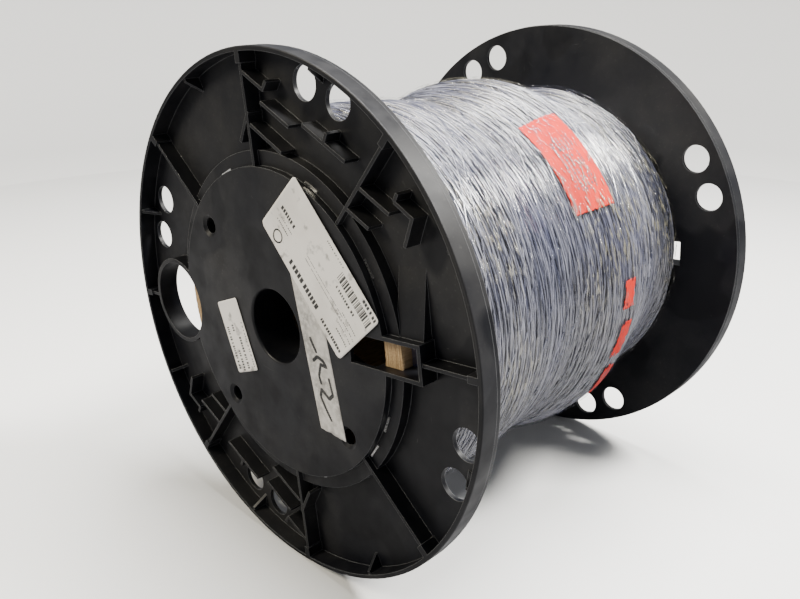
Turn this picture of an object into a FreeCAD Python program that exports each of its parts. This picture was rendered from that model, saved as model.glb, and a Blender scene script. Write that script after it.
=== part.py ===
"""Cable spool: two identical moulded flanges stapled to a fibreboard core tube, wound with fine cable.

The spool's axis is X, its origin is on that axis midway between the flanges, and +Z is up.
A flange is built lying in its own XY plane, its outer lip at Z = 0 and its inner face towards +Z.
"""
import FreeCAD
import Part
import Sketcher
import os
import re

Vector = FreeCAD.Vector
Rotation = FreeCAD.Rotation
Placement = FreeCAD.Placement

doc = FreeCAD.newDocument("CableSpool")

# ---------------------------------------------------------------------------------- driving sizes
# Lengths in millimetres, angles in degrees.
SIZES = [
    ("overall_width", 311.2, "from lip to lip of the two flanges"),
    ("flange_diameter", 355.6, "14 inch flange"),
    ("rim_depth", 15, "rim, from its outer lip to the inner face of the web"),
    ("rim_wall", 3, "thickness of the rim"),
    ("rim_step", 0.4, "relief along the back of the rim"),
    ("rim_step_width", 3.2, "width of that relief"),
    ("web_wall", 3, "thickness of the web, the hub disc and the walls that stand on them"),
    ("edge_round", 0.8, "rounding of the rim's edges"),
    ("arbor_diameter", 50.8, "2 inch arbor hole"),
    ("arbor_wall", 4, "wall of the arbor collar"),
    ("arbor_depth", 32, "length of the arbor collar"),
    ("arbor_round", 1.5, "rounding of the arbor's mouth"),
    ("hub_overhang", 7.9, "from the spigot's outside to the edge of the raised hub disc"),
    ("ledge_depth", 4.8, "from the lip plane to the ledge that the staples sit on"),
    ("ledge_wall", 2.2, "thickness of that ledge"),
    ("tube_diameter", 224, "outside of the core tube"),
    ("tube_wall", 14, "wall of the core tube"),
    ("tube_clearance", 0.3, "radial gap between the tube and the flange"),
    ("spigot_depth", 30, "how far the flange's spigot reaches in, from the lip plane"),
    ("rib_wall", 2.2, "thickness of ribs and tabs"),
    ("rib_drop", 1.2, "rib tops below the lip plane"),
    ("rib_post", 7, "length of the full-height post where a rib meets the rim"),
    ("gusset_length", 10, "foot of a rim gusset"),
    ("hub_rib_depth", 27, "ribs between collar and spigot, from the lip plane"),
    ("drive_inset", 5.7, "from the spigot's inside to the middle of a drive hole"),
    ("drive_diameter", 11, "drive hole"),
    ("drive_sink", 16, "mouth of the drive hole's countersink"),
    ("drive_sink_depth", 1.6, "depth of that countersink"),
    ("rim_hole_diameter", 21, "paired holes near the rim"),
    ("rim_hole_inset", 14.8, "from the rim's inside to the middle of a paired hole"),
    ("rim_hole_pitch", 30.4, "distance between the two holes of a pair"),
    ("hand_hole_diameter", 60, "large hole"),
    ("hand_hole_offset", 11, "from the tube's outside to the middle of the large hole"),
    ("slot_reach_in", 22.7, "how far the start slot reaches inside the spigot's outside"),
    ("slot_reach_out", 16.7, "how far it reaches past the tube's socket"),
    ("slot_width", 19, "width of the start slot"),
    ("slot_box_wall", 2.5, "wall round the start slot"),
    ("ramp_length", 40, "ramp beside the slot"),
    ("ramp_width", 21, "width of the ramp"),
    ("ramp_rise", 7, "height of the ramp at the slot"),
    ("ramp_offset", 1.5, "from the slot box's outer end to the ramp"),
    ("staple_inset", 1.4, "from the hub disc's edge to the staple crowns"),
    ("staple_crown", 12, "width of a staple"),
    ("staple_leg", 11, "length of a staple leg under the ledge's face"),
    ("staple_wire", 0.6, "thickness of the staple wire"),
    ("staple_band", 1.2, "width of the staple wire"),
    ("staple_clearance", 0.1, "gap round a staple leg"),
    ("winding_gap", 0.3, "gap between the winding and each flange"),
    ("film_wall", 0.6, "stretch film, several turns"),
    ("coil_label_wall", 0.3, "labels under the film"),
    ("paper_wall", 0.3, "labels on the near flange"),
    ("tape_wall", 0.15, "masking tape"),
    ("near_turn", -7.5, "near flange turned about the axis"),
    ("far_turn", 174.8, "far flange turned about the axis"),
]

# Tabs that stand on the web: distance of the start from the rim's inside, its angle, the heading
# and the length of each. The set is repeated half a turn away.
TABS = {
    "tab_one": (12.3, 90.4, 211, 22),
    "tab_one_spur": (22.8, 97.3, 131, 7),
    "tab_two": (29.8, 96.3, 211, 29),
    "tab_three": (43.8, 90.9, 211, 33),
    "tab_four": (33.8, 112.3, 211, 40),
    "tab_four_spur": (34.3, 120.6, 121, 5.5),
    "tab_five": (38.3, 135.2, 211, 26),
    "tab_six": (55.8, 135.2, 211, 20),
    "tab_seven": (21.8, 144.1, 213, 16),
    "tab_seven_spur": (21.8, 144.1, 122, 5.5),
    "tab_seven_leg": (16.3, 149.2, 295, 17),
    "tab_eight": (35.8, 90.5, 303, 22),
}

# Outside of the winding: distance from the near flange's inner face as a share of the space
# between the flanges, and the depth of cable on the tube there.
WINDING = {
    "wound_a": (0, 8), "wound_b": (0.025, 18), "wound_c": (0.07, 24), "wound_d": (0.17, 26),
    "wound_e": (0.32, 25), "wound_f": (0.42, 21), "wound_g": (0.52, 21.5), "wound_h": (0.62, 30.5),
    "wound_i": (0.71, 30), "wound_j": (0.83, 19), "wound_k": (0.92, 13), "wound_l": (1, 17),
}

# Labels on the cable, under the film: middle as a share of the space between the flanges, middle
# angle, and size along the axis and round the cable.
COIL_LABELS = {"coil_label": (0.596, 135, 36, 73), "coil_tag": (0.678, 194.5, 20, 104)}

# Paper and tape on the near flange's hub disc: middle across and up from the axis, heading of the
# long side, length, width and corner radius.
FACE_LABELS = {
    "hub_label": (-48.3, 52.8, 225, 101.6, 50.8, 3),
    "stock_label": (45.2, -21, 246.8, 53, 26, 1.5),
    "masking_tape": (-43, -1, 256.3, 124, 24, 0.5),
}

for items, fields in ((TABS, ("inset", "angle", "heading", "length")),
                      (WINDING, ("share", "depth")),
                      (COIL_LABELS, ("share", "angle", "width", "length")),
                      (FACE_LABELS, ("across", "up", "heading", "length", "width", "corner"))):
    for name, numbers in items.items():
        for field, number in zip(fields, numbers):
            SIZES.append((name + "_" + field, number, name.replace("_", " ") + ", " + field))

sheet = doc.addObject("Spreadsheet::Sheet", "Sizes")
for row, (alias, value, meaning) in enumerate(SIZES, start=1):
    sheet.set("A%d" % row, meaning)
    sheet.set("B%d" % row, str(value))
    sheet.setAlias("B%d" % row, alias)
doc.recompute()
ALIASES = {alias for alias, value, meaning in SIZES}


def size(alias):
    return float(sheet.get(alias))


def formula(text):
    """A formula in plain size names, made into one that points at the sheet."""
    return re.sub(r"[a-z_]+", lambda m: "Sizes." + m[0] if m[0] in ALIASES else m[0], text)


def evaluate(text):
    """The value of a formula now, in millimetres or degrees."""
    return float(sheet.evalExpression(formula("0 + " + str(text))))


def bind(item, **formulas):
    """Tie properties to formulas; a double underscore in a name stands for a dot."""
    for name, text in formulas.items():
        item.setExpression(name.replace("__", "."), formula(str(text)))


# ------------------------------------------------------------------------- features inside a body
def origin_feature(body, role):
    return [item for item in body.Origin.OriginFeatures if item.Role == role][0]


def outline(body, name, plane, corners):
    """A closed sketch of straight lines through corners given as pairs of formulas."""
    sketch = body.newObject("Sketcher::SketchObject", name)
    sketch.AttachmentSupport = (origin_feature(body, plane), [""])
    sketch.MapMode = "FlatFace"
    flat = [[evaluate(text) for text in corner] for corner in corners]
    count = len(flat)
    for index, (x, y) in enumerate(flat):
        following = flat[(index + 1) % count]
        sketch.addGeometry(Part.LineSegment(Vector(x, y, 0), Vector(following[0], following[1], 0)))
    for index in range(count):
        sketch.addConstraint(Sketcher.Constraint("Coincident", index, 2, (index + 1) % count, 1))
    for index, (x, y) in enumerate(flat):
        for kind, value, text in (("DistanceX", x, corners[index][0]),
                                  ("DistanceY", y, corners[index][1])):
            number = sketch.addConstraint(Sketcher.Constraint(kind, index, 1, value))
            sketch.setExpression("Constraints[%d]" % number, formula(str(text)))
    return sketch


def primitive(body, kind, name, at, angle=0, **sizes):
    """A PartDesign primitive: its corner or centre at three formulas, turned about the body's Z."""
    item = body.newObject("PartDesign::" + kind, name)
    item.AttachmentSupport = (origin_feature(body, "XY_Plane"), [""])
    item.MapMode = "FlatFace"
    item.Refine = False
    x, y, z = at
    bind(item, AttachmentOffset__Base__x=x, AttachmentOffset__Base__y=y, AttachmentOffset__Base__z=z,
         AttachmentOffset__Rotation__Angle=angle, **sizes)
    return item


def wall(body, name, radius, angle, heading, length, drop="rib_drop"):
    """An upright wall on the web, from a point at radius and angle, along a heading."""
    side = "(%s - 90)" % heading
    x = "({r}) * cos({a}) + rib_wall / 2 * cos({s})".format(r=radius, a=angle, s=side)
    y = "({r}) * sin({a}) + rib_wall / 2 * sin({s})".format(r=radius, a=angle, s=side)
    return primitive(body, "AdditiveBox", name, (x, y, drop), heading,
                     Length=length, Width="rib_wall", Height="rim_depth - web_wall / 2 - " + drop)


def repeat(body, name, features, count):
    """The same features at equal steps right round the axis."""
    pattern = body.newObject("PartDesign::PolarPattern", name)
    pattern.Originals = features
    pattern.Axis = (origin_feature(body, "Z_Axis"), [""])
    pattern.Angle = 360
    pattern.Occurrences = count
    pattern.Refine = False
    body.Tip = pattern
    return pattern


def upright_pad(body, name, plane, corners, turn, offset, length):
    """A pad of a profile drawn in an upright plane that is turned about Z and moved along it."""
    sketch = outline(body, name + "_outline", plane, corners)
    bind(sketch, AttachmentOffset__Base__z=offset)
    sketch.AttachmentOffset = Placement(Vector(0, 0, 0), Rotation(Vector(0, 1, 0), turn))
    pad = body.newObject("PartDesign::Pad", name)
    pad.Profile = sketch
    pad.Refine = False
    bind(pad, Length=length)
    return pad


# ------------------------------------------------------------------------------------- the flange
RIM_INNER = "flange_diameter / 2 - rim_wall"
FLOOR = "rim_depth - web_wall"
SEAT = "ledge_depth + ledge_wall"
SPIGOT_OUTER = "tube_diameter / 2 - tube_wall - tube_clearance"
SOCKET_INNER = "tube_diameter / 2 + tube_clearance"
HUB_RADIUS = "(%s + hub_overhang)" % SPIGOT_OUTER
DRIVE_RADIUS = "(%s - web_wall - drive_inset)" % SPIGOT_OUTER
RIM_HOLE_RADIUS = "(%s - rim_hole_inset)" % RIM_INNER
HAND_HOLE_RADIUS = "tube_diameter / 2 + hand_hole_offset"
SLOT_INNER = "(%s - slot_reach_in)" % SPIGOT_OUTER
SLOT_OUTER = "(%s + web_wall + slot_reach_out)" % SOCKET_INNER
SLOT_END = "(%s + slot_box_wall)" % SLOT_OUTER
RIB_COUNT = 8
QUARTERS = 4
BETWEEN_RIBS = 180 / RIB_COUNT
BETWEEN_QUARTERS = 180 / QUARTERS


def flange_shell(body):
    """Hub disc, arbor collar, tube socket, web and rim, spun about Z from one profile."""
    corners = [
        ("arbor_diameter / 2", 0),
        (HUB_RADIUS, 0),
        (HUB_RADIUS, "ledge_depth"),
        (SOCKET_INNER + " + web_wall", "ledge_depth"),
        (SOCKET_INNER + " + web_wall", FLOOR),
        (RIM_INNER, FLOOR),
        (RIM_INNER, 0),
        ("flange_diameter / 2", 0),
        ("flange_diameter / 2", "rim_depth - rim_step_width"),
        ("flange_diameter / 2 - rim_step", "rim_depth - rim_step_width"),
        ("flange_diameter / 2 - rim_step", "rim_depth"),
        (SOCKET_INNER, "rim_depth"),
        (SOCKET_INNER, SEAT),
        (SPIGOT_OUTER, SEAT),
        (SPIGOT_OUTER, "spigot_depth"),
        (SPIGOT_OUTER + " - web_wall", "spigot_depth"),
        (SPIGOT_OUTER + " - web_wall", "web_wall"),
        ("arbor_diameter / 2 + arbor_wall", "web_wall"),
        ("arbor_diameter / 2 + arbor_wall", "arbor_depth"),
        ("arbor_diameter / 2", "arbor_depth"),
    ]
    shell = body.newObject("PartDesign::Revolution", "shell")
    shell.Profile = outline(body, "shell_outline", "XZ_Plane", corners)
    shell.ReferenceAxis = (origin_feature(body, "Z_Axis"), [""])
    shell.Angle = 360
    doc.recompute()
    for name, radius, width in (("arbor_mouth", size("arbor_diameter") / 2, "arbor_round"),
                                ("rim_lip", size("flange_diameter") / 2, "edge_round")):
        base = body.Tip
        edges = []
        for number, edge in enumerate(base.Shape.Edges, start=1):
            box = edge.BoundBox
            if box.ZMax < 0.001 and abs(box.XMax - radius) < 0.001:
                edges.append("Edge%d" % number)
        rounded = body.newObject("PartDesign::Fillet", name)
        rounded.Base = (base, edges)
        bind(rounded, Radius=width)
        body.Tip = rounded
        doc.recompute()


def flange_walls(body):
    """Ribs, posts, gussets, tabs, collars and the ramp."""
    for turn, half in ((0, ""), (180, "_opposite")):
        for name in TABS:
            wall(body, name + half, "%s - %s_inset" % (RIM_INNER, name), "(%s_angle + %d)" % (name, turn),
                 "(%s_heading + %d)" % (name, turn), name + "_length")
    primitive(body, "AdditiveCylinder", "hand_hole_collar", (HAND_HOLE_RADIUS, 0, 0),
              Radius="hand_hole_diameter / 2 + web_wall", Height="rim_depth")
    primitive(body, "AdditiveBox", "slot_box",
              ("-" + SLOT_END, "-slot_width / 2 - slot_box_wall", 0),
              Length="%s - %s + 1" % (SLOT_END, HUB_RADIUS), Width="slot_width + 2 * slot_box_wall",
              Height="rim_depth")
    near = "slot_width / 2 + slot_box_wall / 2"
    far = "slot_width / 2 + slot_box_wall + ramp_length"
    upright_pad(body, "ramp", "YZ_Plane",
                [(near, FLOOR + " - ramp_rise"), (far, FLOOR), (far, FLOOR + " + web_wall / 2"),
                 (near, FLOOR + " + web_wall / 2")],
                0, "-%s + ramp_offset" % SLOT_END, "ramp_width")
    rib = wall(body, "rib", HUB_RADIUS + " - 1", 0, 0, "%s - %s + 2" % (RIM_INNER, HUB_RADIUS))
    post = primitive(body, "AdditiveBox", "post", (RIM_INNER + " - rib_post", "-rib_wall", 0),
                     Length="rib_post + rim_wall / 2", Width="2 * rib_wall",
                     Height="rim_depth - web_wall / 2")
    repeat(body, "ribs", [rib, post], RIB_COUNT)
    foot = RIM_INNER + " - gusset_length"
    gusset = upright_pad(body, "gusset", "XZ_Plane",
                         [(RIM_INNER + " + rim_wall / 2", "rib_drop"), (RIM_INNER + " - 2", "rib_drop"),
                          (foot, FLOOR), (foot, FLOOR + " + web_wall / 2"),
                          (RIM_INNER + " + rim_wall / 2", FLOOR + " + web_wall / 2")],
                         BETWEEN_RIBS, 0, "rib_wall")
    gusset.Midplane = True
    repeat(body, "gussets", [gusset], RIB_COUNT)
    start = "(arbor_diameter / 2 + arbor_wall / 2)"
    hub_rib = primitive(body, "AdditiveBox", "hub_rib",
                        ("%s * cos(%g)" % (start, BETWEEN_RIBS), "%s * sin(%g)" % (start, BETWEEN_RIBS),
                         "web_wall / 2"), BETWEEN_RIBS,
                        Length="%s - web_wall / 2 - %s" % (SPIGOT_OUTER, start),
                        Width="rib_wall", Height="hub_rib_depth - web_wall / 2")
    repeat(body, "hub_ribs", [hub_rib], RIB_COUNT)


def flange_holes(body):
    """The tube's seat, and every hole that goes through the flange."""
    seat = body.newObject("PartDesign::Groove", "tube_seat")
    seat.Profile = outline(body, "tube_seat_outline", "XZ_Plane",
                           [(SPIGOT_OUTER, SEAT), (SOCKET_INNER, SEAT),
                            (SOCKET_INNER, "spigot_depth + 1"), (SPIGOT_OUTER, "spigot_depth + 1")])
    seat.ReferenceAxis = (origin_feature(body, "Z_Axis"), [""])
    seat.Angle = 360
    seat.Refine = False
    through = "arbor_depth + 2"
    spot = ("%s * cos(%g)" % (DRIVE_RADIUS, BETWEEN_QUARTERS),
            "%s * sin(%g)" % (DRIVE_RADIUS, BETWEEN_QUARTERS))
    drive = primitive(body, "SubtractiveCylinder", "drive_hole", spot + (-1,),
                      Radius="drive_diameter / 2", Height=through)
    sink = primitive(body, "SubtractiveCone", "drive_sink", spot + (0,),
                     Radius1="drive_sink / 2", Radius2="drive_diameter / 2", Height="drive_sink_depth")
    pair = []
    for name, sign in (("one", "-"), ("two", "+")):
        turn = "(%g deg %s asin(rim_hole_pitch / 2 / %s))" % (BETWEEN_RIBS, sign, RIM_HOLE_RADIUS)
        pair.append(primitive(body, "SubtractiveCylinder", "rim_hole_" + name,
                              ("%s * cos(%s)" % (RIM_HOLE_RADIUS, turn),
                               "%s * sin(%s)" % (RIM_HOLE_RADIUS, turn), -1),
                              Radius="rim_hole_diameter / 2", Height=through))
    repeat(body, "round_holes", [drive, sink] + pair, QUARTERS)
    primitive(body, "SubtractiveCylinder", "hand_hole", (HAND_HOLE_RADIUS, 0, -1),
              Radius="hand_hole_diameter / 2", Height=through)
    primitive(body, "SubtractiveBox", "start_slot", ("-" + SLOT_OUTER, "-slot_width / 2", -1),
              Length="%s - %s" % (SLOT_OUTER, SLOT_INNER), Width="slot_width", Height=through)


def flange_body(name):
    body = doc.addObject("PartDesign::Body", name)
    flange_shell(body)
    flange_walls(body)
    flange_holes(body)
    return body


# ------------------------------------------------------------------------------- Part workbench
def solid(kind, name, at=(0, 0, 0), frame=Placement(), **sizes):
    """A Part primitive with its sizes tied to the sheet, placed at three formulas in a frame."""
    item = doc.addObject("Part::" + kind, name)
    bind(item, **sizes)
    x, y, z = [evaluate(text) for text in at]
    item.Placement = frame.multiply(Placement(Vector(x, y, z), Rotation()))
    return item


def group(kind, name, items):
    item = doc.addObject("Part::" + kind, name)
    if kind == "Compound":
        item.Links = items
    else:
        item.Shapes = items
    return item


def combine(kind, name, base, tool):
    item = doc.addObject("Part::" + kind, name)
    item.Base = base
    item.Tool = tool
    return item


# Where each flange stands: its own Z becomes +X for the near one and -X for the far one.
AXIS_UP_TO_X = Rotation(Vector(1, 1, 1), 120)
HALF_WIDTH = size("overall_width") / 2
FACING_BACK = Rotation(Vector(0, 0, 1), 180)


def about_x(angle):
    return Rotation(Vector(1, 0, 0), angle)


SIDES = {
    "near": Placement(Vector(-HALF_WIDTH, 0, 0), about_x(size("near_turn")) * AXIS_UP_TO_X),
    "far": Placement(Vector(HALF_WIDTH, 0, 0), about_x(size("far_turn")) * FACING_BACK * AXIS_UP_TO_X),
}

# Angles of the staples in the flange's own frame, clear of ribs, the large hole and the slot.
STAPLE_RADIUS = "%s + staple_inset" % HUB_RADIUS
STAPLE_ANGLES = (37.5, 69.5, 118.5, 152.5, 205.8, 219.5, 257.5, 299.5, 332.5)


def staples(side, name, gap, depth):
    """One set of staples, or with a gap the slots that their legs go through."""
    items = []
    for number, angle in enumerate(STAPLE_ANGLES, start=1):
        spot = SIDES[side].multiply(Placement(Vector(0, 0, 0), Rotation(Vector(0, 0, 1), angle)))
        pieces = []
        for end, start in (("one", "-staple_crown / 2"), ("two", "staple_crown / 2 - staple_wire")):
            pieces.append(solid(
                "Box", "%s_%d_leg_%s" % (name, number, end),
                ("%s - staple_band / 2 - %s" % (STAPLE_RADIUS, gap), start + " - " + gap, depth), spot,
                Length="staple_band + 2 * " + gap, Width="staple_wire + 2 * " + gap,
                Height="staple_leg + ledge_depth + %s - (%s)" % (gap, depth)))
        if gap == "0":
            pieces.append(solid(
                "Box", "%s_%d_crown" % (name, number),
                (STAPLE_RADIUS + " - staple_band / 2", "-staple_crown / 2", "ledge_depth - staple_wire"),
                spot, Length="staple_band", Width="staple_crown", Height="staple_wire"))
        items.append(group("MultiFuse", "%s_%d" % (name, number), pieces))
    return group("Compound", name, items)


# Both flanges come out of one mould, so one body is placed twice.
moulding = flange_body("moulding")
leg_slots = {}
for side, frame in SIDES.items():
    leg_slots[side] = staples(side, "leg_slots_" + side, "staple_clearance", "ledge_depth - 1")
    staples(side, "staples_" + side, "0", "ledge_depth - staple_wire")
    blank = group("Compound", "flange_blank_" + side, [moulding])
    blank.Placement = frame
    combine("Cut", "flange_" + side, blank, leg_slots[side])

# Core tube: seated on both ledges, with a slot for every staple leg.
tube_length = "overall_width - 2 * (%s)" % SEAT
lying = Placement(Vector(-HALF_WIDTH + evaluate(SEAT), 0, 0), AXIS_UP_TO_X)
tube_outside = solid("Cylinder", "tube_outside", frame=lying, Radius="tube_diameter / 2",
                     Height=tube_length)
tube_inside = solid("Cylinder", "tube_inside", frame=lying, Radius="tube_diameter / 2 - tube_wall",
                    Height=tube_length)
tube_blank = combine("Cut", "tube_blank", tube_outside, tube_inside)
combine("Cut", "core_tube", tube_blank, group("Compound", "leg_slots", list(leg_slots.values())))


# ------------------------------------------------------------------------- the cable on the tube
FACE = "rim_depth + winding_gap"
SPAN = "(overall_width - 2 * (%s))" % FACE
STATIONS = [("%s + %s_share * %s" % (FACE, name, SPAN), "tube_diameter / 2 + %s_depth" % name)
            for name in WINDING]


def wound(name, inner, outer):
    """A body of revolution on the tube; inner and outer are depths added to the cable's outside."""
    body = doc.addObject("PartDesign::Body", name)
    top = [(radius + " + " + outer, along) for along, radius in STATIONS]
    if inner is None:
        bottom = [("tube_diameter / 2", STATIONS[-1][0]), ("tube_diameter / 2", STATIONS[0][0])]
    else:
        bottom = [(radius + " + " + inner, along) for along, radius in reversed(STATIONS)]
    ring = body.newObject("PartDesign::Revolution", name + "_ring")
    ring.Profile = outline(body, name + "_outline", "XZ_Plane", top + bottom)
    ring.ReferenceAxis = (origin_feature(body, "Z_Axis"), [""])
    ring.Angle = 360
    body.Placement = Placement(Vector(-HALF_WIDTH, 0, 0), AXIS_UP_TO_X)
    return body


wound("cable_winding", None, "0")
film_shell = wound("film_shell", "0", "film_wall")

# Each label on the cable is a patch of a thin shell, cut out of it by a box.
for name in COIL_LABELS:
    along = evaluate("%s + %s_share * %s" % (FACE, name, SPAN))
    sector = Placement(Vector(-HALF_WIDTH + along, 0, 0), about_x(size(name + "_angle")))
    cutter = solid("Box", name + "_outline",
                   ("-%s_width / 2" % name, "tube_diameter / 2", "-%s_length / 2" % name), sector,
                   Length=name + "_width", Width="(flange_diameter - tube_diameter) / 2",
                   Height=name + "_length")
    combine("Common", name, wound(name + "_shell", "0", "coil_label_wall"), cutter)
combine("Cut", "stretch_film", film_shell, group("MultiFuse", "label_beds", [
    doc.getObject(name) for name in COIL_LABELS]))


# -------------------------------------------------------------- paper and tape on the near flange
def sheet_of(name, thickness):
    """A flat rectangle with round corners, stuck to the near flange's lip plane."""
    middle = Vector(-HALF_WIDTH, size(name + "_across"), size(name + "_up"))
    spot = Placement(middle, about_x(size(name + "_heading")))
    blank = solid("Box", name + "_blank",
                  ("-" + thickness, "-%s_length / 2" % name, "-%s_width / 2" % name), spot,
                  Length=thickness, Width=name + "_length", Height=name + "_width")
    doc.recompute()
    depth = size(thickness)
    corner = size(name + "_corner")
    edges = [number for number, edge in enumerate(blank.Shape.Edges, start=1)
             if abs(edge.Length - depth) < 0.001]
    rounded = doc.addObject("Part::Fillet", name + "_sheet")
    rounded.Base = blank
    rounded.Edges = [(number, corner, corner) for number in edges]
    return rounded


tape = sheet_of("masking_tape", "tape_wall")
# The hub label lies partly on the tape, so the tape's thickness is taken out of it there.
combine("Cut", "hub_label", sheet_of("hub_label", "paper_wall"), tape)
tape.Label = "masking_tape"
sheet_of("stock_label", "paper_wall").Label = "stock_label"

doc.recompute()

# ------------------------------------------------------------------------------ check and write
NODES = ["flange_near", "flange_far", "core_tube", "staples_near", "staples_far", "cable_winding",
         "stretch_film", "coil_label", "coil_tag", "hub_label", "stock_label", "masking_tape"]
for item in doc.Objects:
    if "Invalid" in item.State or "Error" in item.State:
        raise RuntimeError("%s failed: %s" % (item.Label, item.State))
os.makedirs("parts", exist_ok=True)
for node in NODES:
    shape = doc.getObjectsByLabel(node)[0].Shape
    if shape.isNull() or not shape.isValid():
        raise RuntimeError(node + " has no valid shape")
    shape.exportStep("parts/%s.step" % node)
    box = shape.BoundBox
    print("%-14s %2d solids %10.0f mm3  x %.1f..%.1f  y %.1f..%.1f  z %.1f..%.1f" % (
        node, len(shape.Solids), shape.Volume,
        box.XMin, box.XMax, box.YMin, box.YMax, box.ZMin, box.ZMax))
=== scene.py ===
import math
import random

import bmesh
import bpy
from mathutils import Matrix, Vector, noise


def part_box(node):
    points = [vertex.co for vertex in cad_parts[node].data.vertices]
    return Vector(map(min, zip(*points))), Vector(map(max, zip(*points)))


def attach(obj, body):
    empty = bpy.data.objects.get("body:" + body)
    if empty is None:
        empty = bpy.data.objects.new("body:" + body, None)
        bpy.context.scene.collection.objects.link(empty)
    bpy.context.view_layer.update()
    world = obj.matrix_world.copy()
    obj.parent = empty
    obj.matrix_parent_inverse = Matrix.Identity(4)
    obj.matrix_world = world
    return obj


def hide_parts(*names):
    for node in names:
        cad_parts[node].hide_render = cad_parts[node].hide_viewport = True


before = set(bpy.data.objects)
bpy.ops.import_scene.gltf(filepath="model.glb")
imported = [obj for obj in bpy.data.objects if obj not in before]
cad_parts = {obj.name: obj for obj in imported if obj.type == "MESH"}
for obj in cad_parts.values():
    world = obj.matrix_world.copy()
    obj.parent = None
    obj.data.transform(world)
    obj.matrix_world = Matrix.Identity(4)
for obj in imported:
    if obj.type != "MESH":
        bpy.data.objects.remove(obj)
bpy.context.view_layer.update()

random.seed(14)

# ------------------------------------------------------------------ the room
# A pale floor that runs up into a backdrop all round, three soft lamps over it, and the camera
# to the front left of the near flange, looking a little down along the spool.
flange_low, flange_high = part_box("flange_near")
flange_radius = flange_high.z
near_lip = flange_low.x


def plug_in(tree, made, links):
    """Feed a node's inputs, from other sockets by a link and from plain values directly."""
    for key, value in links.items():
        if isinstance(value, bpy.types.NodeSocket):
            tree.links.new(value, made.inputs[key])
        else:
            made.inputs[key].default_value = value
    return made


def add_node(tree, kind, links=None, **settings):
    """A node with its settings, its inputs given as sockets to link or as plain values."""
    made = tree.nodes.new("ShaderNode" + kind)
    for key, value in settings.items():
        setattr(made, key, value)
    return plug_in(tree, made, links or {})


def mix_colour(tree, factor, first, second):
    """From the first colour to the second as the factor goes from 0 to 1."""
    mix = add_node(tree, "Mix", data_type="RGBA")
    return plug_in(tree, mix, {0: factor, 6: first, 7: second}).outputs[2]


def new_finish(name):
    """A new material, its nodes and its shader."""
    finish = bpy.data.materials.new(name)
    finish.use_nodes = True
    return finish, finish.node_tree, finish.node_tree.nodes["Principled BSDF"]


def placed(name, data, finish, smooth):
    """An object with that mesh in one finish, shaded smooth where it is round."""
    data.materials.clear()
    data.materials.append(finish)
    if smooth:
        data.shade_smooth()
    made = bpy.data.objects.new(name, data)
    bpy.context.collection.objects.link(made)
    return made


def built(name, mesh, finish, smooth=False):
    """The same from a bmesh, which is used up."""
    data = bpy.data.meshes.new(name)
    mesh.to_mesh(data)
    mesh.free()
    return placed(name, data, finish, smooth)


# The floor looks pale itself, but throws little light back up under the spool.
floor_finish, tree, shader = new_finish("pale_floor")
looked_at = add_node(tree, "LightPath")
plug_in(tree, shader, {"Roughness": 0.7, "Base Color": mix_colour(
    tree, looked_at.outputs["Is Camera Ray"], (0.26, 0.26, 0.27, 1), (0.86, 0.86, 0.85, 1))})

floor_half = 3.0
floor_gap = 0.0005
floor_mesh = bmesh.new()
bmesh.ops.create_grid(floor_mesh, x_segments=1, y_segments=1, size=floor_half)
bmesh.ops.translate(floor_mesh, verts=floor_mesh.verts, vec=(0, 0, -flange_radius - floor_gap))
built("floor", floor_mesh, floor_finish)

# The backdrop: pairs of distance from the spool and height over the floor, from its foot up.
sweep_profile = [(1.3, 0.0002), (1.5, 0.02), (1.68, 0.08), (1.82, 0.2), (1.9, 0.36),
                 (1.93, 0.6), (1.93, 1.4)]
sweep_mesh = bmesh.new()
sweep_line = [sweep_mesh.verts.new((reach, 0, height - flange_radius))
              for reach, height in sweep_profile]
sweep_edges = [sweep_mesh.edges.new(pair) for pair in zip(sweep_line, sweep_line[1:])]
bmesh.ops.spin(sweep_mesh, geom=sweep_line + sweep_edges, cent=(0, 0, 0), axis=(0, 0, 1),
               angle=math.tau, steps=96, use_merge=True)
bmesh.ops.reverse_faces(sweep_mesh, faces=sweep_mesh.faces)
backdrop = built("backdrop", sweep_mesh, floor_finish, smooth=True)
backdrop.visible_diffuse = False
backdrop.visible_glossy = False
backdrop.visible_shadow = False

world = bpy.data.worlds.new("room_light")
world.use_nodes = True
plug_in(world.node_tree, world.node_tree.nodes["Background"],
        {"Color": (0.93, 0.95, 1.0, 1), "Strength": 0.30})
bpy.context.scene.world = world


def soft_light(name, place, aim, power, width, height, colour):
    """A rectangular lamp at a place, turned to its aim."""
    lamp = bpy.data.lights.new(name, "AREA")
    lamp.energy = power
    lamp.shape = "RECTANGLE"
    lamp.size = width
    lamp.size_y = height
    lamp.color = colour
    holder = bpy.data.objects.new(name, lamp)
    holder.location = place
    holder.rotation_euler = (Vector(aim) - Vector(place)).to_track_quat("-Z", "Y").to_euler()
    bpy.context.collection.objects.link(holder)


soft_light("ceiling_light", (0.1, 0.0, 1.4), (0, 0, 0), 62, 1.0, 0.6, (1, 0.985, 0.95))
soft_light("window_light", (-1.2, 0.7, 1.0), (0, 0, 0.05), 26, 0.5, 0.5, (1, 0.92, 0.74))
soft_light("side_light", (0.5, -0.7, 1.1), (0, 0, 0.05), 58, 0.35, 0.35, (1, 0.98, 0.93))

camera_heading = Vector((0.65427, 0.65934, -0.37039))
camera_data = bpy.data.cameras.new("camera")
camera_data.lens = 36.49
camera_data.sensor_width = 36
camera_data.clip_start = 0.02
camera = bpy.data.objects.new("camera", camera_data)
camera.location = (-0.4428, -0.4066, 0.2150)
camera.rotation_euler = camera_heading.to_track_quat("-Z", "Y").to_euler()
bpy.context.collection.objects.link(camera)
bpy.context.scene.camera = camera

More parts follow.
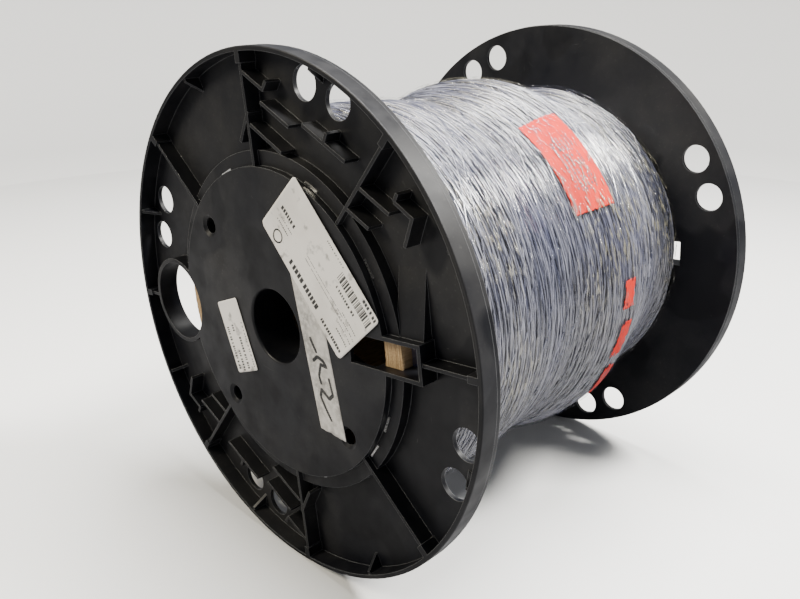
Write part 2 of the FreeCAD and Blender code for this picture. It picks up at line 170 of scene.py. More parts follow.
# ------------------------------------------------------------------ near and far flange
# Two mouldings of one shape in black polystyrene, satin from the mould, dusty in the pockets and
# scuffed on the rim, with a painted highlight along their edges and corners. Each is stapled to
# its end of the tube. The CAD shapes stay; only their finish is made here.


def node_group(name, inputs, outputs):
    """An empty shader group with the named sockets, and its input and output nodes."""
    group = bpy.data.node_groups.new(name, "ShaderNodeTree")
    for socket, kind, value in inputs:
        made = group.interface.new_socket(socket, in_out="INPUT", socket_type="NodeSocket" + kind)
        made.default_value = value
    for socket, kind in outputs:
        group.interface.new_socket(socket, in_out="OUTPUT", socket_type="NodeSocket" + kind)
    return group, group.nodes.new("NodeGroupInput"), group.nodes.new("NodeGroupOutput")


def use_group(tree, group, links):
    """A shader group placed in a material with its own values."""
    made = tree.nodes.new("ShaderNodeGroup")
    made.node_tree = group
    return plug_in(tree, made, links)


def mottle(tree, place, scale, detail, **more):
    """Noise that stays on the piece: a value near 0.5, so fine and so detailed."""
    return add_node(tree, "TexNoise", {"Vector": place, "Scale": scale, "Detail": detail,
                                       **more}).outputs["Fac"]


def ramp(tree, factor, low, high, start=(0, 0, 0, 1), end=(1, 1, 1, 1)):
    """A blend between two colours over a stretch of the factor."""
    made = add_node(tree, "ValToRGB", {"Fac": factor})
    first, last = made.color_ramp.elements
    first.position, first.color = low, start
    last.position, last.color = high, end
    return made.outputs["Color"]


# Painted edge highlight: how far the surface turns within a small radius, so edges and corners
# come out white, as if they caught the light. Its rounded normal is real shading.
edge_group, edge_in, edge_out = node_group(
    "painted_edge_highlight", [("Radius", "Float", 0.0006), ("Start", "Float", 0.02), ("End", "Float", 0.25)],
    [("Mask", "Float"), ("Normal", "Vector")])
edge_round = add_node(edge_group, "Bevel", {"Radius": edge_in.outputs["Radius"]}, samples=4)
edge_flat = add_node(edge_group, "NewGeometry")
edge_turn = add_node(edge_group, "VectorMath", {0: edge_round.outputs["Normal"],
                                                1: edge_flat.outputs["Normal"]},
                     operation="DOT_PRODUCT")
edge_bend = add_node(edge_group, "Math", {0: 1.0, 1: edge_turn.outputs["Value"]},
                     operation="SUBTRACT")
edge_range = add_node(edge_group, "MapRange", {
    "Value": edge_bend.outputs[0], "From Min": edge_in.outputs["Start"],
    "From Max": edge_in.outputs["End"]})
plug_in(edge_group, edge_out, {"Mask": edge_range.outputs[0],
                               "Normal": edge_round.outputs["Normal"]})

# Dust: a patchy film of it, with fine specks where it lies thickest.
dust_group, dust_in, dust_out = node_group(
    "dust", [("Amount", "Float", 0.5), ("Scale", "Float", 9.0)], [("Mask", "Float")])
place = add_node(dust_group, "TexCoord").outputs["Object"]
dust_patches = mottle(dust_group, place, dust_in.outputs["Scale"], 6.0, Roughness=0.62)
dust_specks = mottle(dust_group, place, 420.0, 2.0)
dust_film = add_node(dust_group, "Math", {0: ramp(dust_group, dust_patches, 0.42, 0.66),
                                          1: dust_in.outputs["Amount"]}, operation="MULTIPLY")
dust_sum = add_node(dust_group, "Math", {0: ramp(dust_group, dust_specks, 0.62, 0.72),
                                         1: dust_film.outputs[0], 2: dust_film.outputs[0]},
                    operation="MULTIPLY_ADD")
plug_in(dust_group, dust_out, {"Mask": dust_sum.outputs[0]})

black_moulding, tree, shader = new_finish("black_moulding")
place = add_node(tree, "TexCoord").outputs["Object"]
rounded_edge_highlight = use_group(tree, edge_group, {"Radius": 0.0007, "Start": 0.03, "End": 0.35})
dust = use_group(tree, dust_group, {"Amount": 0.5, "Scale": 11.0})
blotches = mottle(tree, place, 17.0, 1.5, Distortion=0.4)
grime = mottle(tree, place, 60.0, 5.0)
sway = add_node(tree, "TexNoise", {"Vector": place, "Scale": 14.0, "Detail": 1.0})
scratch_place = add_node(tree, "Mapping", {
    "Vector": mix_colour(tree, 0.55, place, sway.outputs["Color"]),
    "Rotation": (0.7, 0.1, 0.3), "Scale": (10, 210, 34)})
scratches = mottle(tree, scratch_place.outputs[0], 1.4, 2.0)
colour = mix_colour(tree, dust.outputs["Mask"], (0.0046, 0.0050, 0.0074, 1),
                    (0.034, 0.033, 0.032, 1))
colour = mix_colour(tree, ramp(tree, blotches, 0.55, 0.59), colour, (0.0028, 0.0030, 0.0046, 1))
colour = mix_colour(tree, ramp(tree, scratches, 0.74, 0.80), colour, (0.035, 0.035, 0.035, 1))
# Painted highlight: edges and corners are lightened, in place of light caught on their rounded
# edges.
colour = mix_colour(tree, rounded_edge_highlight.outputs["Mask"], colour, (0.20, 0.205, 0.21, 1))
sheen = add_node(tree, "MapRange", {"Value": grime, "From Min": 0.3, "From Max": 0.7,
                                    "To Min": 0.34, "To Max": 0.56})
grain = add_node(tree, "Bump", {"Height": grime, "Strength": 0.12, "Distance": 0.0006,
                                "Normal": rounded_edge_highlight.outputs["Normal"]})
plug_in(tree, shader, {"Base Color": colour, "Roughness": sheen.outputs[0],
                       "Specular IOR Level": 0.25, "Normal": grain.outputs[0]})


def refinish(node, finish):
    """Give a CAD piece its finish; its shape stays."""
    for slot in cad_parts[node].material_slots:
        slot.material = finish


refinish("flange_near", black_moulding)
refinish("flange_far", black_moulding)

# ------------------------------------------------------------------ core tube
# A thick tube of tan paper, wound on a mandrel in glued plies and sawn to length, so its ends show
# the plies as rings. It sits in both flanges' sockets and takes the staples.
tube_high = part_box("core_tube")[1]
tube_radius = tube_high.z
tube_end = tube_high.x
tube_wall = 0.014
ply_count = 12
saw_mark = 0.0005
ply_step = 0.0004
torn_fibre = 0.0011

fibreboard, tree, shader = new_finish("fibreboard")
place = add_node(tree, "TexCoord").outputs["Object"]
split = add_node(tree, "SeparateXYZ", {"Vector": place})
from_axis = add_node(tree, "CombineXYZ", {"Y": split.outputs["Y"], "Z": split.outputs["Z"]})
out = add_node(tree, "VectorMath", {0: from_axis.outputs[0]}, operation="LENGTH")
plies = add_node(tree, "TexNoise", {"Scale": 900.0, "Detail": 3.0, "W": out.outputs["Value"]},
                 noise_dimensions="1D")
fibre_place = add_node(tree, "Mapping", {"Vector": place, "Scale": (18, 140, 140)})
fibres = mottle(tree, fibre_place.outputs[0], 6.0, 8.0, Roughness=0.7)
colour = mix_colour(tree, ramp(tree, plies.outputs["Fac"], 0.35, 0.65),
                    (0.34, 0.215, 0.10, 1), (0.60, 0.43, 0.24, 1))
colour = mix_colour(tree, ramp(tree, fibres, 0.4, 0.75), colour, (0.25, 0.15, 0.07, 1))
fuzz = add_node(tree, "Bump", {"Height": fibres, "Strength": 0.5, "Distance": 0.0008})
plug_in(tree, shader, {"Base Color": colour, "Roughness": 0.85, "Normal": fuzz.outputs[0]})


def keep(name, mesh, finish, smooth=False):
    """A new piece from a bmesh, riding on the spool."""
    piece = built(name, mesh, finish, smooth)
    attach(piece, "root")
    return piece


def turned(profile, steps, closed=False):
    """A shell spun about the spool's axis from points given as pairs of place and radius."""
    shell = bmesh.new()
    line = [shell.verts.new((along, 0, radius)) for along, radius in profile]
    pairs = list(zip(line, line[1:]))
    if closed:
        pairs.append((line[-1], line[0]))
    edges = [shell.edges.new(pair) for pair in pairs]
    bmesh.ops.spin(shell, geom=line + edges, cent=(0, 0, 0), axis=(1, 0, 0), angle=math.tau,
                   steps=steps, use_merge=True)
    bmesh.ops.remove_doubles(shell, verts=shell.verts, dist=1e-6)
    bmesh.ops.recalc_face_normals(shell, faces=shell.faces)
    return shell


def outward(place):
    """The direction straight away from the spool's axis."""
    return Vector((0, place.y, place.z)).normalized()


tube_bore = tube_radius - tube_wall
across_wall = [tube_bore + tube_wall * ply / ply_count for ply in range(ply_count + 1)]
tube_profile = [(-tube_end, radius) for radius in across_wall]
tube_profile += [(tube_end, radius) for radius in reversed(across_wall)]
tube_mesh = turned(tube_profile, 420, closed=True)
for vertex in tube_mesh.verts:
    away = outward(vertex.co)
    share = (math.hypot(vertex.co.y, vertex.co.z) - tube_bore) / tube_wall
    sawn = 0.5 + 0.5 * noise.noise(away * 60 + Vector((0, 0, share * 9)))
    stepped = 0.5 + 0.5 * noise.noise(Vector((share * ply_count * 1.7, 4, 2)))
    vertex.co.x -= math.copysign(saw_mark * sawn + ply_step * stepped, vertex.co.x)
    if share < 0.5 / ply_count:
        torn = 0.5 + 0.5 * noise.noise(away * 190)
        vertex.co += away * torn_fibre * max(0, torn - 0.35)
tube = keep("tube_wall", tube_mesh, fibreboard)
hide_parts("core_tube")

# ------------------------------------------------------------------ staples
# Bright galvanised wire staples driven through each flange's ledge into the end of the tube.
# The CAD shapes stay; only their finish is made here.
staple_wire, tree, shader = new_finish("staple_wire")
drawn = mottle(tree, add_node(tree, "TexCoord").outputs["Object"], 900.0, 3.0)
colour = ramp(tree, drawn, 0.3, 0.7, (0.72, 0.72, 0.72, 1), (0.95, 0.95, 0.93, 1))
dull = add_node(tree, "MapRange", {"Value": drawn, "To Min": 0.18, "To Max": 0.4})
plug_in(tree, shader, {"Base Color": colour, "Metallic": 1.0, "Roughness": dull.outputs[0]})
refinish("staples_near", staple_wire)
refinish("staples_far", staple_wire)

# ------------------------------------------------------------------ cable on the tube
# Fine silver-grey cable, laid on the tube in many crossing layers. The outer layers are modelled
# turn by turn; under them lies one closed bed of the same cable.
cable_width = 0.0014
thinnest_winding = 0.002
bed_depth = 0.0030
bed_clearance = 0.0004
bed_count = 90

stations = {}
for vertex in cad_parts["cable_winding"].data.vertices:
    along = round(vertex.co.x, 5)
    stations[along] = max(stations.get(along, 0), math.hypot(vertex.co.y, vertex.co.z))
stations = sorted((along, radius) for along, radius in stations.items()
                  if radius > tube_radius + thinnest_winding)
winding_start, winding_end = stations[0][0], stations[-1][0]


def straight_radius(along):
    """Radius of the wound cable at a place on the axis, straight between the stations."""
    for (first, low), (second, high) in zip(stations, stations[1:]):
        if along <= second:
            return low + (high - low) * max(0, along - first) / (second - first)
    return stations[-1][1]


def wound_radius(along):
    """The same, with the corners at the stations smoothed out."""
    reach = 0.009
    steps = 4
    return sum(straight_radius(min(winding_end, max(winding_start, along + reach * step / steps)))
               for step in range(-steps, steps + 1)) / (2 * steps + 1)


def stretched(tree, place, scale, **more):
    """Noise drawn out round the spool: fine along the axis and long round the cable."""
    mapped = add_node(tree, "Mapping", {"Vector": place, "Scale": scale})
    return add_node(tree, "TexNoise", {"Vector": mapped.outputs[0], "Scale": 1.0,
                                       **more}).outputs["Fac"]


cable_jacket, tree, shader = new_finish("cable_jacket")
place = add_node(tree, "TexCoord").outputs["Object"]
strands_and_gap_shade = stretched(tree, place, (760, 13, 13), Detail=5.0, Roughness=0.6)
broad_tone = stretched(tree, place, (34, 9, 9), Detail=3.0)
# Fine stripes round the turns: partly a random tone per strand, partly painted shade, near black,
# in place of the dark gaps between strands.
colour = mix_colour(tree, ramp(tree, strands_and_gap_shade, 0.42, 0.64),
                    (0.014, 0.017, 0.040, 1), (0.25, 0.255, 0.31, 1))
colour = mix_colour(tree, ramp(tree, broad_tone, 0.48, 0.70, end=(0.5, 0.5, 0.5, 1)), colour,
                    (0.10, 0.105, 0.19, 1))
plug_in(tree, shader, {"Base Color": colour, "Roughness": 0.2, "IOR": 1.9,
                       "Specular IOR Level": 1.0})

bed_profile = [(winding_start, tube_radius + bed_clearance)]
for index in range(bed_count + 1):
    along = winding_start + (winding_end - winding_start) * index / bed_count
    bed_profile.append((along, wound_radius(along) - bed_depth))
bed_profile.append((winding_end, tube_radius + bed_clearance))
bed = keep("cable_bed", turned(bed_profile, 128, closed=True), cable_jacket)
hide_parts("cable_winding")


def cable_layer(name, lead, starts, depth, wander, points_per_turn):
    """A layer of cable: so many strands side by side, each moving one lead along per turn.

    Depth is how far the strands lie under the outside, and wander how far they stray sideways.
    """
    curve = bpy.data.curves.new(name, "CURVE")
    curve.dimensions = "3D"
    curve.bevel_depth = cable_width / 2
    curve.bevel_resolution = 0
    curve.use_fill_caps = True
    end_gap = cable_width * 0.6
    most_lift = cable_width * 0.6
    first = winding_start + end_gap
    last = winding_end - end_gap
    turns = (last - first) / abs(lead)
    count = int(turns * points_per_turn) + 1
    for start in range(starts):
        phase = math.tau * (start + random.uniform(-0.4, 0.4)) / starts
        seed = random.uniform(0, 90)
        spline = curve.splines.new("POLY")
        spline.points.add(count - 1)
        for index in range(count):
            share = index / (count - 1)
            angle = phase + math.tau * turns * share * (1 if lead > 0 else -1)
            along = first + (last - first) * share
            drift = noise.noise(Vector((along * 45, seed, math.cos(angle) * 1.3)))
            drift += 0.5 * noise.noise(Vector((seed, angle * 1.9, along * 30)))
            along = min(last, max(first, along + wander * drift))
            lift = 0.45 * noise.noise(Vector((angle * 2.3, along * 60, seed)))
            radius = wound_radius(along) - depth + most_lift * lift
            spline.points[index].co = (along, radius * math.cos(angle),
                                       radius * math.sin(angle), 1)
    path = bpy.data.objects.new(name + "_path", curve)
    bpy.context.collection.objects.link(path)
    graph = bpy.context.evaluated_depsgraph_get()
    data = bpy.data.meshes.new_from_object(path.evaluated_get(graph))
    bpy.data.objects.remove(path)
    data.name = name
    layer = placed(name, data, cable_jacket, smooth=True)
    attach(layer, "root")


cable_layer("cable_layer_under", 0.0016, 1, 0.0024, 0.0006, 60)
cable_layer("cable_layer_left", 0.058, 23, 0.0019, 0.003, 84)
cable_layer("cable_layer_right", -0.082, 30, 0.0015, 0.004, 84)
cable_layer("cable_layer_outer", 0.040, 11, 0.0010, 0.005, 84)
cable_layer("cable_stray_turns", -0.24, 12, 0.0008, 0.012, 84)

# ------------------------------------------------------------------ labels on the cable
# Orange-red printed paper, stuck to the cable before the film went round it. The film's streaks
# are painted over the print, the light ones as painted highlights and the dark ones as painted
# shade in its creases, and the second label has torn into strips.
label_rise = 0.0007
label_ripple = 0.0002
label_thickness = 0.00015
label_fray = 0.02
label_slip = 0.012

red_label, tree, shader = new_finish("red_label")
place = add_node(tree, "TexCoord").outputs["Object"]
painted_film_streaks = stretched(tree, place, (420, 40, 40), Detail=5.0, Roughness=0.65)
blur = stretched(tree, place, (60, 22, 22), Detail=2.0)
colour = mix_colour(tree, ramp(tree, blur, 0.4, 0.7), (0.64, 0.018, 0.006, 1),
                    (0.50, 0.015, 0.008, 1))
# Painted film streaks: the light ones are painted highlights and the dark ones painted shade in
# the film's creases.
colour = mix_colour(tree, ramp(tree, painted_film_streaks, 0.62, 0.72), colour, (0.80, 0.22, 0.17, 1))
colour = mix_colour(tree, ramp(tree, painted_film_streaks, 0.30, 0.36), (0.16, 0.03, 0.05, 1), colour)
crease = add_node(tree, "Bump", {"Height": painted_film_streaks, "Strength": 0.6, "Distance": 0.001})
plug_in(tree, shader, {"Base Color": colour, "Roughness": 0.7, "Specular IOR Level": 0.2,
                       "Normal": crease.outputs[0]})


def wrapped_sheet(node):
    """A place on a label on the cable, from shares across and round it, over the CAD label."""
    low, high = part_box(node)
    middle = (low + high) / 2
    centre = math.atan2(middle.z, middle.y)
    turns = []
    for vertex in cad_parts[node].data.vertices:
        turn = math.atan2(vertex.co.z, vertex.co.y) - centre
        turns.append((turn + math.pi) % math.tau - math.pi)
    first, last = centre + max(turns), centre + min(turns)
    if middle.z > 0:
        first, last = last, first

    def spot(across, round_it, proud=0.0):
        along = middle.x + (high.x - low.x) * (across - 0.5)
        angle = first + (last - first) * round_it
        radius = wound_radius(along) + label_rise + proud
        radius += label_ripple * noise.noise(Vector((across * 17, round_it * 6, 1)))
        return Vector((along, radius * math.cos(angle), radius * math.sin(angle)))

    return spot


def wrapped_label(name, node, columns, rows, keeps=None):
    """Label paper on the cable; keeps says which shares across and round it are still there."""
    spot = wrapped_sheet(node)
    sheet = bmesh.new()
    bmesh.ops.create_grid(sheet, x_segments=columns, y_segments=rows, size=0.5)
    gone = []
    for vertex in sheet.verts:
        across, round_it = vertex.co.x + 0.5, vertex.co.y + 0.5
        if keeps and not keeps(across, round_it):
            gone.append(vertex)
        frayed = label_fray * noise.noise(Vector((round_it * 24, across * 9, 3)))
        slipped = label_slip * noise.noise(Vector((across * 17, 7, round_it * 3)))
        vertex.co = spot(across + frayed, round_it + slipped)
    bmesh.ops.delete(sheet, geom=gone, context="VERTS")
    bmesh.ops.recalc_face_normals(sheet, faces=sheet.faces)
    bmesh.ops.solidify(sheet, geom=sheet.faces[:], thickness=label_thickness)
    piece = keep(name, sheet, red_label, smooth=True)
    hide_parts(node)


def in_strips(across, round_it):
    """Three strips are left of the second label; the first one lies aslant."""
    strip_half = 0.34
    ragged = 0.05 * noise.noise(Vector((round_it * 40, across * 6, 8)))
    # Each strip's start and end round the cable, and its middle across at either.
    strips = ((-0.01, 0.33, 0.72, 0.42), (0.43, 0.69, 0.30, 0.52), (0.80, 1.01, 0.38, 0.42))
    for start, end, middle_first, middle_last in strips:
        if start < round_it + ragged < end:
            share = (round_it - start) / (end - start)
            middle = middle_first + (middle_last - middle_first) * share
            return abs(across - middle) < strip_half + 2 * ragged
    return False


wrapped_label("cable_label", "coil_label", 44, 84)
wrapped_label("cable_tag", "coil_tag", 44, 160, in_strips)

# The print is six lines of uneven dashes, in shares of the label.
line_count = 6
line_first = 0.27
line_pitch = 0.085
line_height = 0.045
line_end = 0.80
print_rise = 0.0001
marks = bmesh.new()
label_spot = wrapped_sheet("coil_label")
for line in range(line_count):
    across = line_first + line_pitch * line
    start = 0.24 + 0.05 * random.random()
    while start < line_end:
        length = random.uniform(0.012, 0.028)
        if random.random() < 0.8:
            corners = ((across, start), (across + line_height, start),
                       (across + line_height, start + length), (across, start + length))
            marks.faces.new([marks.verts.new(label_spot(*corner, print_rise))
                             for corner in corners])
        start += length + random.uniform(0.008, 0.016)
for face in marks.faces:
    face.normal_update()
    if face.normal.dot(outward(face.verts[0].co)) < 0:
        face.normal_flip()
bmesh.ops.solidify(marks, geom=marks.faces[:], thickness=0.00003)

label_print, tree, shader = new_finish("label_print")
worn_ink = stretched(tree, add_node(tree, "TexCoord").outputs["Object"], (300, 200, 200),
                     Detail=3.0)
plug_in(tree, shader, {"Base Color": mix_colour(
    tree, ramp(tree, worn_ink, 0.42, 0.6), (0.03, 0.02, 0.035, 1), (0.32, 0.05, 0.06, 1))})
keep("cable_label_print", marks, label_print)

# ------------------------------------------------------------------ stretch film
# Several turns of clear polyethylene film pulled tight round the cable. It creases along the
# turns and across them, and every crease catches the light.
film_width = winding_end - winding_start
film_girth = 0.87
film_columns = 220
film_steps = 400
film_rise = 0.0014
film_ripple = 0.0004
film_seam = -0.9

film_finish, tree, shader = new_finish("film")
film_place = add_node(tree, "TexCoord")
place = film_place.outputs["Object"]


def creases(slant, wide, long, low, high):
    """Streaks so many to the metre each way that lean by a slant: their mask and their height."""
    leaning = add_node(tree, "Mapping", {"Vector": film_place.outputs["UV"],
                                         "Rotation": (0, 0, slant),
                                         "Scale": (film_width, film_girth, 1)})
    streaks = stretched(tree, leaning.outputs[0], (wide, long, 1), Detail=4.0, Roughness=0.6)
    return ramp(tree, streaks, low, high), streaks


left_mask, left_height = creases(0.10, 420, 75, 0.56, 0.63)
right_mask, right_height = creases(-0.14, 330, 60, 0.57, 0.64)
patch = stretched(tree, place, (20, 12, 12), Detail=3.0)
warm = stretched(tree, place, (9, 7, 7), Detail=1.0)
either = add_node(tree, "Math", {0: left_mask, 1: right_mask}, operation="MAXIMUM")
amount = ramp(tree, patch, 0.36, 0.62, (0.35, 0.35, 0.35, 1), (1, 1, 1, 1))
cover = add_node(tree, "Math", {0: either.outputs[0], 1: amount}, operation="MULTIPLY")
alpha = add_node(tree, "MapRange", {"Value": cover.outputs[0], "To Min": 0.02, "To Max": 0.75})
colour = mix_colour(tree, ramp(tree, warm, 0.42, 0.62), (0.20, 0.21, 0.30, 1),
                    (0.42, 0.39, 0.27, 1))
height = add_node(tree, "Math", {0: left_height, 1: right_height}, operation="ADD")
folds = add_node(tree, "Bump", {"Height": height.outputs[0], "Strength": 1.0,
                                "Distance": 0.0035})
plug_in(tree, shader, {"Base Color": colour, "Alpha": alpha.outputs[0], "Roughness": 0.15,
                       "IOR": 2.0, "Specular IOR Level": 1.0, "Normal": folds.outputs[0]})

film_profile = []
for index in range(film_columns + 1):
    along = winding_start + film_width * index / film_columns
    film_profile.append((along, wound_radius(along)))
film_mesh = turned(film_profile, film_steps)
# The film's own map runs across its width and once round it from the seam.
wrap = film_mesh.loops.layers.uv.new("wrap")
for face in film_mesh.faces:
    middle = face.calc_center_median()
    second_half = (math.atan2(middle.z, middle.y) - film_seam) % math.tau > math.pi
    for loop in face.loops:
        corner = loop.vert.co
        share = (math.atan2(corner.z, corner.y) - film_seam) % math.tau / math.tau
        if second_half and share < 0.1:
            share = 1
        if not second_half and share > 0.9:
            share = 0
        loop[wrap].uv = ((corner.x - winding_start) / film_width, share)
for vertex in film_mesh.verts:
    along = vertex.co.x
    away = outward(vertex.co)
    fine = noise.noise(away * 9 + Vector((along * 300, 0, 0)))
    wide = noise.noise(away * 5 + Vector((along * 70, 6, 0)))
    vertex.co += away * (film_rise + film_ripple * fine + film_ripple * wide)
film = keep("film_wrap", film_mesh, film_finish, smooth=True)
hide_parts("stretch_film")

# ------------------------------------------------------------------ large label on the hub
# White thermal paper with round corners, stuck on the hub disc over the end of the tape. Its free
# edges curl a little. The print is only bars, rings and dashes.
MM = 0.001
sheet_thickness = 0.12 * MM
ink_thickness = 0.02 * MM
ink_rise = 0.03 * MM

label_paper, tree, shader = new_finish("label_paper")
place = add_node(tree, "TexCoord").outputs["Object"]
pulp = mottle(tree, place, 700.0, 4.0)
stain = mottle(tree, place, 26.0, 6.0)
scuff = mottle(tree, place, 120.0, 3.0)
colour = mix_colour(tree, ramp(tree, stain, 0.45, 0.75), (0.90, 0.87, 0.83, 1),
                    (0.72, 0.69, 0.64, 1))
colour = mix_colour(tree, ramp(tree, scuff, 0.60, 0.72), colour, (0.40, 0.385, 0.36, 1))
tooth = add_node(tree, "Bump", {"Height": pulp, "Strength": 0.15, "Distance": 0.0002})
plug_in(tree, shader, {"Base Color": colour, "Roughness": 0.5, "Normal": tooth.outputs[0]})

thermal_ink, tree, shader = new_finish("thermal_ink")
worn_print = mottle(tree, add_node(tree, "TexCoord").outputs["Object"], 900.0, 3.0)
colour = mix_colour(tree, ramp(tree, worn_print, 0.5, 0.72), (0.012, 0.012, 0.013, 1),
                    (0.12, 0.115, 0.11, 1))
plug_in(tree, shader, {"Base Color": colour, "Roughness": 0.55})


class StuckSheet:
    """A flat sheet on the hub disc over its CAD piece, with its own length and width axes.

    Its heading is in degrees, from +Y towards +Z. Corner is the corners' radius, lift the height
    over the disc, and curl how much higher the outer edge stands.
    """

    def __init__(self, node, heading, length, width, corner, lift, curl):
        low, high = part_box(node)
        self.middle = Vector((near_lip, (low.y + high.y) / 2, (low.z + high.z) / 2))
        self.along = Vector((0, math.cos(math.radians(heading)), math.sin(math.radians(heading))))
        self.across = Vector((0, -self.along.z, self.along.y))
        self.length = length
        self.width = width
        self.corner = corner
        self.lift = lift
        self.curl = curl

    def spot(self, up, side, proud=0.0):
        """A place on the sheet, up its length and to the side of its middle, in metres."""
        flat_share = 0.8
        edge = max(abs(up) / (self.length / 2), abs(side) / (self.width / 2))
        curled = max(0, edge - flat_share) / (1 - flat_share)
        rise = self.lift + self.curl * curled ** 2
        rise += 0.12 * self.lift * noise.noise(Vector((up * 90, side * 90, self.length * 50)))
        return (self.middle + self.along * up + self.across * side
                + Vector((-(rise + proud), 0, 0)))

    def shared(self, share_up, share_side):
        """Shares of the length and width, from the upper end and the right edge, in metres."""
        return (share_up - 0.5) * self.length, (share_side - 0.5) * self.width

    def paper_mesh(self, pitch, torn=None):
        """The sheet as a closed thin mesh with round corners, or torn where that is given."""
        mesh = bmesh.new()
        bmesh.ops.create_grid(mesh, x_segments=round(self.length / pitch),
                              y_segments=round(self.width / pitch), size=0.5)
        inner_up = self.length / 2 - self.corner
        inner_side = self.width / 2 - self.corner
        for vertex in mesh.verts:
            up, side = vertex.co.x * self.length, vertex.co.y * self.width
            past_up, past_side = abs(up) - inner_up, abs(side) - inner_side
            if past_up > 0 and past_side > 0:
                pull = max(past_up, past_side) / math.hypot(past_up, past_side)
                up = math.copysign(inner_up + past_up * pull, up)
                side = math.copysign(inner_side + past_side * pull, side)
            if torn:
                up, side = torn(up, side)
            vertex.co = self.spot(up, side)
        bmesh.ops.recalc_face_normals(mesh, faces=mesh.faces)
        mesh.normal_update()
        if sum(face.normal.x for face in mesh.faces) > 0:
            bmesh.ops.reverse_faces(mesh, faces=mesh.faces)
        bmesh.ops.solidify(mesh, geom=mesh.faces[:], thickness=sheet_thickness)
        return mesh

    def mark(self, mesh, up, side, length, width):
        """A rectangle of ink; the middle and both sizes in metres."""
        face = mesh.faces.new([
            mesh.verts.new(self.spot(up + end * length / 2, side + edge * width / 2, ink_rise))
            for end, edge in ((-1, -1), (1, -1), (1, 1), (-1, 1))])
        face.normal_update()
        if face.normal.x > 0:
            face.normal_flip()

    def row(self, mesh, start, end, side, height, shortest, longest, gap):
        """A row of dashes of uneven length: its place in shares, its sizes in millimetres."""
        up, across = self.shared(start, side)
        last = self.shared(end, side)[0]
        while up < last:
            length = random.uniform(shortest * MM, longest * MM)
            self.mark(mesh, up + length / 2, across, length, height * MM)
            up += length + gap * MM * random.choice((1, 1, 1, 2.4))


def inked(name, mesh):
    """Print as a piece of its own, with the little thickness that ink has."""
    bmesh.ops.solidify(mesh, geom=mesh.faces[:], thickness=ink_thickness)
    keep(name, mesh, thermal_ink)


hub_sheet = StuckSheet("hub_label", heading=225, length=0.1016, width=0.0508, corner=0.003,
                       lift=0.00032, curl=0.0012)
label = keep("hub_paper", hub_sheet.paper_mesh(0.0016), label_paper, smooth=True)
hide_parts("hub_label")

hub_print = bmesh.new()
bar_up, bar_side = hub_sheet.shared(0.63, 0.215)
bar_end = hub_sheet.shared(0.97, 0.215)[0]
bar_height = 0.0072
while bar_up < bar_end:
    bar = random.choice((0.0004, 0.0004, 0.0008, 0.0012))
    hub_sheet.mark(hub_print, bar_up, bar_side, bar, bar_height)
    bar_up += bar + random.choice((0.0005, 0.0005, 0.0009))

# Rows of dashes: start, end and side in shares; height, shortest, longest and gap in millimetres.
for row in ((0.32, 0.64, 0.90, 4.0, 1.8, 2.7, 0.9),
            (0.73, 0.97, 0.93, 2.2, 1.0, 1.7, 0.5),
            (0.66, 0.87, 0.37, 2.0, 0.9, 1.5, 0.8),
            (0.84, 0.97, 0.075, 3.0, 1.3, 2.0, 0.7),
            (0.43, 0.62, 0.095, 1.0, 0.5, 1.0, 0.7),
            (0.39, 0.82, 0.56, 0.35, 1.5, 6.0, 0.6),
            (0.39, 0.80, 0.62, 0.35, 1.5, 6.0, 0.6),
            (0.05, 0.20, 0.51, 3.0, 1.2, 1.9, 0.7),
            (0.07, 0.20, 0.70, 1.0, 0.6, 1.2, 0.5),
            (0.09, 0.22, 0.62, 0.8, 0.5, 1.0, 0.6),
            (0.80, 0.96, 0.52, 0.7, 0.5, 1.1, 0.6),
            (0.76, 0.97, 0.60, 0.7, 0.5, 1.1, 0.6),
            (0.82, 0.97, 0.68, 0.7, 0.5, 1.1, 0.6),
            (0.84, 0.97, 0.77, 1.1, 0.6, 1.3, 0.6)):
    hub_sheet.row(hub_print, *row)

ring_up, ring_side = hub_sheet.shared(0.147, 0.876)
ring_radius = 0.0042
ring_line = 0.0010
ring_parts = 40
for part in range(ring_parts):
    turn = math.tau * part / ring_parts
    hub_sheet.mark(hub_print, ring_up + ring_radius * math.cos(turn),
                   ring_side + ring_radius * math.sin(turn), ring_line, ring_line)
inked("hub_print", hub_print)

# ------------------------------------------------------------------ small label on the hub
# A second, narrow paper label for stock keeping, stuck flat on the hub disc. It has a few short
# rows of dashes.
stock_sheet = StuckSheet("stock_label", heading=246.8, length=0.053, width=0.026, corner=0.0015,
                         lift=0.00030, curl=0.0004)
stock = keep("stock_paper", stock_sheet.paper_mesh(0.0014), label_paper, smooth=True)
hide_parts("stock_label")

stock_print = bmesh.new()
for start, end, side, height in ((0.36, 0.96, 0.88, 2.5), (0.70, 0.97, 0.66, 2.5),
                                 (0.34, 0.46, 0.62, 2.3), (0.52, 0.96, 0.42, 2.5),
                                 (0.33, 0.97, 0.13, 1.0)):
    stock_sheet.row(stock_print, start, end, side, height, 0.7, 1.5, 0.7)
inked("stock_print", stock_print)

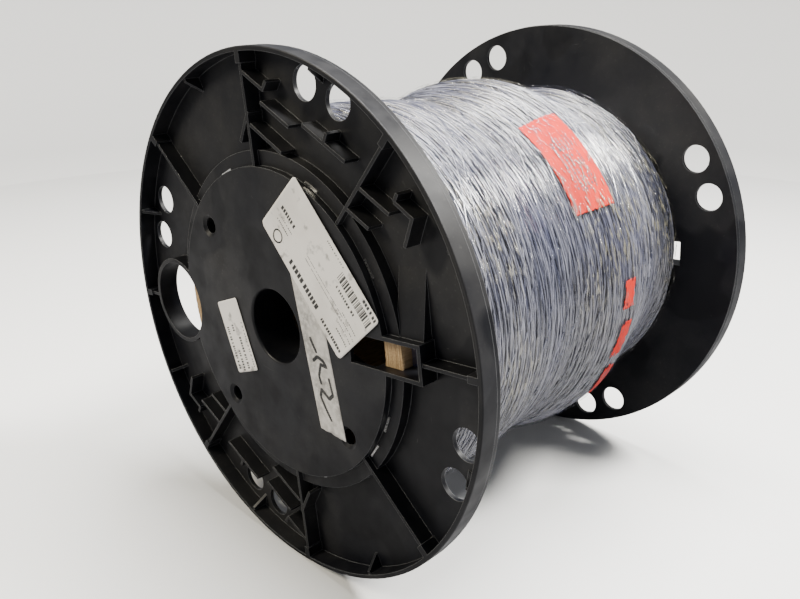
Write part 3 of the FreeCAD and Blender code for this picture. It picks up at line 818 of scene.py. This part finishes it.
# ------------------------------------------------------------------ masking tape
# Creped paper tape, torn off by hand at its lower end and scribbled on with a marker. It runs
# under the large label.
masking_tape, tree, shader = new_finish("masking_tape")
place = add_node(tree, "TexCoord").outputs["Object"]
ridges = mottle(tree, place, 330.0, 5.0)
smudge = mottle(tree, place, 75.0, 4.0)
colour = mix_colour(tree, ramp(tree, smudge, 0.38, 0.68), (0.56, 0.54, 0.51, 1),
                    (0.31, 0.30, 0.285, 1))
colour = mix_colour(tree, ramp(tree, ridges, 0.42, 0.7), colour, (0.66, 0.64, 0.61, 1))
crinkle = add_node(tree, "Bump", {"Height": ridges, "Strength": 0.4, "Distance": 0.0004})
plug_in(tree, shader, {"Base Color": colour, "Roughness": 0.7, "Normal": crinkle.outputs[0]})

tape_sheet = StuckSheet("masking_tape", heading=256.3, length=0.124, width=0.024, corner=0.0005,
                        lift=0.00014, curl=0.0)
tear_slant = 0.006
tear_teeth = 0.0018


def torn_end(up, side):
    """The lower end is torn aslant, with small teeth."""
    near_end = max(0, up / (tape_sheet.length / 2) - 0.8) / 0.2
    share = side / tape_sheet.width + 0.5
    teeth = noise.noise(Vector((share * 9, 1, 5))) + 0.5 * noise.noise(Vector((share * 31, 2, 5)))
    return up - (tear_slant * share + tear_teeth * abs(teeth)) * near_end, side


tape = keep("tape_strip", tape_sheet.paper_mesh(0.0014, torn_end), masking_tape, smooth=True)
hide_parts("masking_tape")

# Strokes of the marker, up the tape and to its side from its middle, in millimetres.
strokes = [
    [(-6, 4.5), (-2, 3.2), (3, 1.0)],
    [(9, 6.0), (6.0, 1.0), (8.5, -4.0), (12.5, -6.5), (11, -1.0), (19, 3.0), (24, 2.2)],
    [(20, -6.5), (31, -7.5), (34, -3.0), (28, 3.0), (33, 5.5), (40, 3.0), (49, -1.0)],
]
stroke_pieces = 8
dab_length, dab_width = 0.0021, 0.0019
scribble = bmesh.new()
for stroke in strokes:
    for (up, side), (next_up, next_side) in zip(stroke, stroke[1:]):
        for piece in range(stroke_pieces):
            share = (piece + 0.5) / stroke_pieces
            tape_sheet.mark(scribble, (up + (next_up - up) * share) * MM,
                            (side + (next_side - side) * share) * MM, dab_length, dab_width)
inked("marker_scribble", scribble)
